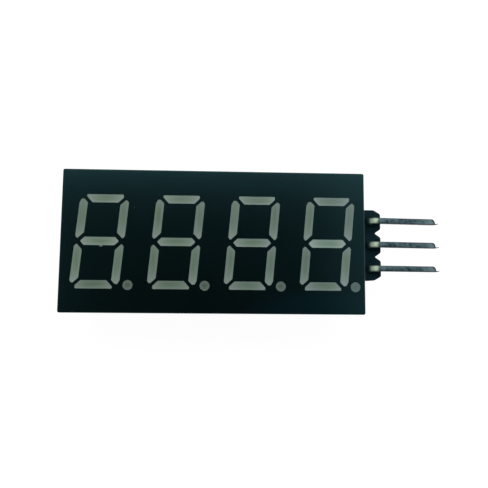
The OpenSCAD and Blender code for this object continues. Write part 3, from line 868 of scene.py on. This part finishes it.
def fillet(bm, x, y, way, base, climb):
    """A hollow-faced wedge against an end face: from x outwards along the board."""
    back = x - way * FILLET_INTO
    outline = [(back, base), (back, base - climb)]
    for turn in quarter(6):
        out = way * FILLET_REACH * (1 - math.cos(turn))
        outline.append((x + out, base - climb * (1 - math.sin(turn))))
    face = bm.faces.new([bm.verts.new((px, y - FILLET_HALF_W, pz)) for px, pz in outline])
    grown = bmesh.ops.extrude_face_region(bm, geom=[face], use_keep_orig=True)["geom"]
    far = [v for v in grown if isinstance(v, bmesh.types.BMVert)]
    bmesh.ops.translate(bm, verts=far, vec=(0, 2 * FILLET_HALF_W, 0))


def make_fillets(solder):
    """Solder that climbs the metal ends of the resistors and capacitors."""
    bm = bmesh.new()
    for low, high, ys in (
        (RESISTOR_LOW, RESISTOR_HIGH, RESISTOR_YS),
        (CAPACITOR_LOW, CAPACITOR_HIGH, CAPACITOR_YS),
    ):
        climb = 0.75 * (high.z - low.z)
        for y in ys:
            for x, way in ((low.x, -1), (high.x, 1)):
                fillet(bm, x, y, way, high.z, climb)
    close(bm)
    piece("end_fillets", bm, solder, crease=50)


def make_small_parts(solder):
    compound = mould_compound()
    leads = tin("lead_metal", (0.6, 0.6, 0.58), (0.48, 0.49, 0.47), 0.3)
    for name, node, width, material, slot in (
        ("controller_body", "controller_chip", 0.04, compound, "mould_compound"),
        ("transistor_bodies", "digit_transistors", 0.04, compound, "mould_compound"),
        ("controller_legs", "controller_leads", 0.025, leads, "lead_metal"),
        ("transistor_legs", "transistor_leads", 0.025, leads, "lead_metal"),
    ):
        softened_piece(name, node, width * MM, material, slot)
    make_blocks()
    make_fillets(solder)


# ---- Copper and print on the back of the board, its routes in millimetres ----

SIGNAL_W = 0.2
POWER_W = 0.7
COPPER_T = 0.035
POWER_T = 1.15 * COPPER_T
RING_T = 0.045
VIA_T = 1.2 * COPPER_T
PRINT_W = 0.13
PRINT_T = 0.012
SINK = 0.01  # how far copper and print reach into the board
BOTH = (-1, 1)  # the two sides of a middle line


def strip_along(bm, points, width, thick, closed=False):
    """A flat strip along a line of points on the board's back, extruded from corner to corner."""
    spots = [Vector(point) for point in points]
    if closed:
        spots.append(spots[0])
    headings = [(b - a).normalized() for a, b in zip(spots, spots[1:])]
    sides = [Vector((-heading.y, heading.x)) for heading in headings]
    last = len(sides) - 1
    z = BOARD_BACK - thick * MM
    faces = []
    rail = None
    for i, at in enumerate(spots):
        before, after = sides[max(i - 1, 0)], sides[min(i, last)]
        if closed and i in (0, last + 1):
            before, after = sides[last], sides[0]
        across = (before + after).normalized()
        offset = across * (width / 2 / across.dot(before))
        ends = [Vector((*(at + offset), 0)) * MM, Vector((*(at - offset), 0)) * MM]
        if rail is None:
            pair = [bm.verts.new((end.x, end.y, z)) for end in ends]
            rail = bm.edges.new(pair)
            continue
        grown = bmesh.ops.extrude_edge_only(bm, edges=[rail])["geom"]
        faces += [g for g in grown if isinstance(g, bmesh.types.BMFace)]
        fresh = [g for g in grown if isinstance(g, bmesh.types.BMVert)]
        if (fresh[0].co - pair[0].co).length > (fresh[1].co - pair[0].co).length:
            fresh.reverse()
        for vert, end in zip(fresh, ends):
            vert.co = (end.x, end.y, z)
        pair = fresh
        rail = bm.edges.get(pair)
    if closed:
        bmesh.ops.remove_doubles(bm, verts=bm.verts, dist=SEAM)
    return [face for face in faces if face.is_valid]


def raised(bm, faces, thick):
    """Gives flat strips their thickness, down into the board."""
    bmesh.ops.recalc_face_normals(bm, faces=faces)
    for face in faces:
        if face.normal.z > 0:
            face.normal_flip()
    bmesh.ops.solidify(bm, geom=faces, thickness=(thick + SINK) * MM)
    bmesh.ops.recalc_face_normals(bm, faces=bm.faces)


def display_routes():
    """From the six display pins of each row to the chip, in from both ends alike."""
    jog = 0.35
    pins = [x / MM for x in PIN_XS[3:]]
    leads = [x / MM for x in LEAD_XS[6:9]]
    pin_y, foot_y = PIN_Y / MM, FOOT_Y / MM
    routes = [[(pins[0], pin_y), (pins[0], 4.0), (leads[0], 3.7), (leads[0], foot_y)]]
    for pin, lead, level in ((pins[1], leads[1], 4.05), (pins[2], leads[2], 3.75)):
        turns = [(pin, level + jog), (pin - jog, level), (lead + jog, level), (lead, level - jog)]
        routes.append([(pin, pin_y)] + turns + [(lead, foot_y)])
    corners = [(along, up) for along in BOTH for up in BOTH]
    return [[(along * x, up * y) for x, y in way] for way in routes for along, up in corners]


def resistor_routes():
    """From the chip to the near ends of the resistors, and from their far ends to vias."""
    near, far = RESISTOR_LOW.x / MM - 0.15, RESISTOR_HIGH.x / MM + 0.15
    last_pin, last_lead = PIN_XS[5] / MM, LEAD_XS[9] / MM
    routes = []
    for i, y in enumerate(y / MM for y in RESISTOR_YS):
        up = 1 if y > 0 else -1
        if i in (0, 7):
            routes.append([(last_pin, up * PIN_Y / MM), (last_pin + 0.55, y), (near, y)])
            continue
        if i in (1, 6):
            routes.append([(last_lead, up * FOOT_Y / MM), (last_lead + 0.3, y), (near, y)])
        elif i in (2, 5):
            routes.append([(1.6, up * 1.4), (3.4, up * 1.4), (3.4 + abs(y) - 1.4, y), (near, y)])
        else:
            routes.append([(0.8, y), (near, y)])
        routes.append([(far, y), (via_x(i), y)])
    return routes


def via_x(i):
    """Vias beside the resistors, every other one further out."""
    return 11.45 + 0.65 * (i % 2)


TRANSISTOR_XS = (-9.3, -12.6)
TRANSISTOR_YS = (3.0, -3.0)
# From the chip to the transistors, and on from them to the display's pins and to vias
TRANSISTOR_ROUTES = (
    ((-2.93, 3.0), (-5.6, 3.0), (-6.6, 2.0), (-8.35, 2.0)),
    ((-2.0, 1.2), (-10.6, 1.2), (-11.4, 2.0), (-11.65, 2.0)),
    ((-2.93, -3.0), (-6.9, -3.0), (-7.9, -4.0), (-8.35, -4.0)),
    ((-2.3, -1.2), (-10.45, -1.2), (-10.95, -1.7), (-10.95, -3.5), (-11.45, -4.0), (-11.65, -4.0)),
    ((-9.3, 4.0), (-9.3, 4.6), (-8.82, 5.08), (-6.35, 5.08)),
    ((-12.6, 4.0), (-12.6, 5.0), (-12.1, 5.5), (-10.4, 5.5)),
    ((-9.3, -2.0), (-7.1, -2.0)),
    ((-12.6, -2.0), (-12.6, -0.2)),
    ((-10.25, -4.0), (-10.25, -4.9)),
    ((-10.25, 2.0), (-9.65, 2.0)),
)
GROUND_ROUTE = ((-13.55, 2.0), (-14.1, 1.45), (-14.1, -3.45), (-13.55, -4.0))
MIDDLE_VIA_X = 13.55
LOOSE_VIAS = (
    (-10.4, 5.5),
    (-7.1, -2.0),
    (-12.6, -0.2),
    (-10.25, -4.9),
    (-9.65, 2.0),
    (-14.1, -0.9),
    (-5.2, 0.1),
    (5.3, 0.0),
    (MIDDLE_VIA_X, 0.2),
)


def power_routes():
    """Wide copper: the connector's outer pins to the capacitors, its middle pin to a via."""
    start = CAPACITOR_HIGH.x / MM + 0.2
    leave = start + 0.15
    x = CONNECTOR.x / MM
    upper, level, lower = (y / MM for y in CONNECTOR_YS)
    routes = []
    for pin_y, y in ((upper, CAPACITOR_YS[1] / MM), (lower, CAPACITOR_YS[0] / MM)):
        routes.append([(start, y), (leave, y), (leave + abs(y - pin_y), pin_y), (x, pin_y)])
    routes.append([(MIDDLE_VIA_X, level), (x, level)])
    return routes


def make_tracks(green):
    bm = bmesh.new()
    faces = []
    for route in display_routes() + resistor_routes() + list(TRANSISTOR_ROUTES):
        faces += strip_along(bm, route, SIGNAL_W, COPPER_T)
    for route in power_routes() + [GROUND_ROUTE]:
        faces += strip_along(bm, route, POWER_W, POWER_T)
    raised(bm, faces, COPPER_T)
    soften(bm, 0.008 * MM, steps=1)
    piece("copper_tracks", bm, green)


def ring_profile(inner, outer):
    """Section of a flat ring on the board's back, from its inner foot over to its outer foot."""
    top = BOARD_BACK - RING_T * MM
    foot = BOARD_BACK + SINK * MM
    rounding = 0.03 * MM
    shoulder = top + rounding / 3
    return [
        (inner, foot),
        (inner, shoulder),
        (inner + rounding, top),
        (outer - rounding, top),
        (outer, shoulder),
        (outer, foot),
        (inner, foot),
    ]


def make_rings(green):
    """Rings of copper under the solder mask, one round each through-board joint."""
    bm = bmesh.new()
    for x in PIN_XS:
        for y in (-PIN_Y, PIN_Y):
            lathe(bm, x, y, ring_profile(0.74 * MM, 0.95 * MM), 32)
    for y in CONNECTOR_YS:
        lathe(bm, CONNECTOR.x, y, ring_profile(0.78 * MM, 0.99 * MM), 32)
    close(bm)
    piece("masked_rings", bm, green)


def make_vias(green):
    """Plated holes under the solder mask, each a low ring with a dimple."""
    places = [(x * MM, y * MM) for x, y in LOOSE_VIAS]
    places += [(via_x(i) * MM, RESISTOR_YS[i]) for i in range(1, 7)]
    top = -VIA_T
    section = [(0, SINK), (0.33, SINK), (0.33, 0), (0.27, top), (0.17, top)]
    section += [(0.12, top + 0.02), (0, top + 0.028)]
    bm = bmesh.new()
    for x, y in places:
        lathe(bm, x, y, [(radius * MM, BOARD_BACK + z * MM) for radius, z in section], 20)
    close(bm)
    piece("vias", bm, green)


def printed_lines():
    """Outlines beside the chip, transistors, resistors and capacitors. No lettering."""
    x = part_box("controller_chip")[1].x / MM + 0.25
    lines = [[(side * x, -2.1), (side * x, 2.1)] for side in BOTH]
    low, high = RESISTOR_LOW.x / MM - 0.5, RESISTOR_HIGH.x / MM + 0.5
    ys = [y / MM for y in RESISTOR_YS]
    half_step = (ys[1] - ys[0]) / 2
    for y in [ys[0] - 2 * half_step] + ys:
        lines.append([(low, y + half_step), (high, y + half_step)])
    for x in TRANSISTOR_XS:
        for y in TRANSISTOR_YS:
            lines += [[(x + 1.62 * side, y - 0.55), (x + 1.62 * side, y + 0.55)] for side in BOTH]
    low, high = CAPACITOR_LOW.x / MM - 0.5, CAPACITOR_HIGH.x / MM + 0.5
    for y in CAPACITOR_YS:
        lines += [[(low, y / MM + 0.62 * side), (high, y / MM + 0.62 * side)] for side in BOTH]
    return lines


def connector_outline():
    left, right = CONNECTOR.x / MM - 1.2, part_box("driver_board")[1].x / MM - 0.12
    low, high = CONNECTOR_YS[2] / MM - 0.86, CONNECTOR_YS[0] / MM + 0.86
    corner = 0.55
    return [
        (left, low),
        (right - corner, low),
        (right, low + corner),
        (right, high - corner),
        (right - corner, high),
        (left, high),
    ]


def make_print():
    """Printed outlines, and a dot by the chip's first lead."""
    ink = legend_ink()
    bm = bmesh.new()
    faces = []
    for line in printed_lines():
        faces += strip_along(bm, line, PRINT_W, PRINT_T)
    faces += strip_along(bm, connector_outline(), PRINT_W, PRINT_T, closed=True)
    raised(bm, faces, PRINT_T)
    piece("printed_outlines", bm, ink)
    dot = bmesh.new()
    radius = 0.2 * MM
    foot, top = BOARD_BACK + SINK * MM, BOARD_BACK - PRINT_T * MM
    profile = [(0, foot), (radius, foot), (radius, top), (0, top)]
    lathe(dot, LEAD_XS[0] - 0.75 * MM, FOOT_Y, profile, 20)
    close(dot)
    piece("first_lead_mark", dot, ink)


# ---- Stage ----

WHITE = (1, 1, 1, 1)
FLOOR_GLOW = 1.09
GLOWING = 0.87  # share of the floor's look that is its own glow; the rest takes the shadow
FLOOR_SIZE = 3.0
FLOOR_GAP = 0.001 * MM


def shade_floor():
    """White to the eye and in reflections, but it keeps the shadow. Clear from below."""
    material = bpy.data.materials.new("floor_white")
    material.use_nodes = True
    tree = material.node_tree
    tree.nodes.clear()
    paper = add(tree, "ShaderNodeBsdfDiffuse", {"Color": (0.8, 0.8, 0.8, 1)})
    glow = add(tree, "ShaderNodeEmission", {"Color": WHITE, "Strength": FLOOR_GLOW})
    path = add(tree, "ShaderNodeLightPath").outputs
    seen = maths(tree, "MAXIMUM", path["Is Camera Ray"], path["Is Glossy Ray"])
    seen = maths(tree, "MAXIMUM", seen, path["Is Transmission Ray"])
    share = times(tree, seen, GLOWING)
    lit = add(tree, "ShaderNodeMixShader", {0: share, 1: paper.outputs[0], 2: glow.outputs[0]})
    under = add(tree, "ShaderNodeNewGeometry").outputs["Backfacing"]
    clear = add(tree, "ShaderNodeBsdfTransparent")
    whole = add(tree, "ShaderNodeMixShader", {0: under, 1: lit.outputs[0], 2: clear.outputs[0]})
    add(tree, "ShaderNodeOutputMaterial", {"Surface": whole.outputs[0]})
    return material


def make_floor():
    bm = bmesh.new()
    bmesh.ops.create_grid(bm, x_segments=1, y_segments=1, size=FLOOR_SIZE)
    bmesh.ops.translate(bm, verts=bm.verts, vec=(0, 0, cad_box[0].z - FLOOR_GAP))
    mesh = bpy.data.meshes.new("floor")
    bm.to_mesh(mesh)
    bm.free()
    mesh.materials.append(shade_floor())
    floor = bpy.data.objects.new("floor", mesh)
    bpy.context.scene.collection.objects.link(floor)


def make_sky():
    """Pale surround that darkens towards the ceiling, white to the eye."""
    world = bpy.data.worlds.new("surround")
    bpy.context.scene.world = world
    world.use_nodes = True
    tree = world.node_tree
    tree.nodes.clear()
    height = axes_of(tree, add(tree, "ShaderNodeTexCoord").outputs["Generated"])["Z"]
    seen = add(tree, "ShaderNodeLightPath").outputs["Is Camera Ray"]
    strength = maths(tree, "MAXIMUM", ramp(tree, height, 0.1, 0.97, 1.0, 0.06), seen)
    light = add(tree, "ShaderNodeBackground", {"Color": WHITE, "Strength": strength})
    add(tree, "ShaderNodeOutputWorld", {"Surface": light.outputs[0]})


def soft_light(name, place, size, power):
    """Area light at a place in millimetres, facing the display."""
    data = bpy.data.lights.new(name, "AREA")
    data.shape = "RECTANGLE"
    data.size, data.size_y = (value * MM for value in size)
    data.energy = power
    lamp = bpy.data.objects.new(name, data)
    lamp.location = Vector(place) * MM
    lamp.rotation_euler = (-lamp.location).to_track_quat("-Z", "Y").to_euler()
    bpy.context.scene.collection.objects.link(lamp)


def make_camera():
    """Camera near the display, a little off its axis. Place in millimetres, turns in degrees."""
    data = bpy.data.cameras.new("camera")
    data.sensor_width = 36
    data.lens = 44.85
    data.shift_y = -0.05
    data.clip_start, data.clip_end = 1 * MM, 10
    camera = bpy.data.objects.new("camera", data)
    camera.location = Vector((0.338, -4.969, 60.0)) * MM
    camera.rotation_euler = Euler([math.radians(a) for a in (6.8004, -2.5534, 0.5175)], "XYZ")
    bpy.context.scene.collection.objects.link(camera)
    bpy.context.scene.camera = camera


# ---- The scene ----


def dress_frame():
    """Materials of the CAD nodes that keep their own shape, in view or out of sight."""
    finishes = {
        "reflector_housing": housing_plastic(),
        "driver_board": board_laminate(),
        "inner_board": hidden_material(
            "inner_laminate", (0.55, 0.5, 0.3), (0.45, 0.42, 0.24), 0.6, 900
        ),
        "light_chips": hidden_material("light_chip", (0.7, 0.6, 0.2), (0.5, 0.45, 0.2), 0.3, 5000),
        "back_filling": hidden_material(
            "back_resin", (0.7, 0.67, 0.55), (0.6, 0.57, 0.45), 0.3, 400
        ),
    }
    for node, material in finishes.items():
        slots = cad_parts[node].data.materials
        slots.clear()
        slots.append(material)


make_camera()
make_floor()
make_sky()
soft_light("light_above", (0, 134, 230), (360, 150), 0.45)
soft_light("light_right", (170, 20, 230), (140, 240), 0.06)
soft_light("light_left", (-190, 0, 230), (140, 240), 0.04)

dress_frame()
make_resin()
make_connector()
SOLDER = tin("solder", (0.66, 0.67, 0.66), (0.55, 0.56, 0.55), 0.22)
make_solder(SOLDER)
make_display_pins()
make_small_parts(SOLDER)
COPPER = masked_copper()
make_tracks(COPPER)
make_rings(COPPER)
make_vias(COPPER)
make_print()

bpy.context.scene.view_settings.view_transform = "Standard"
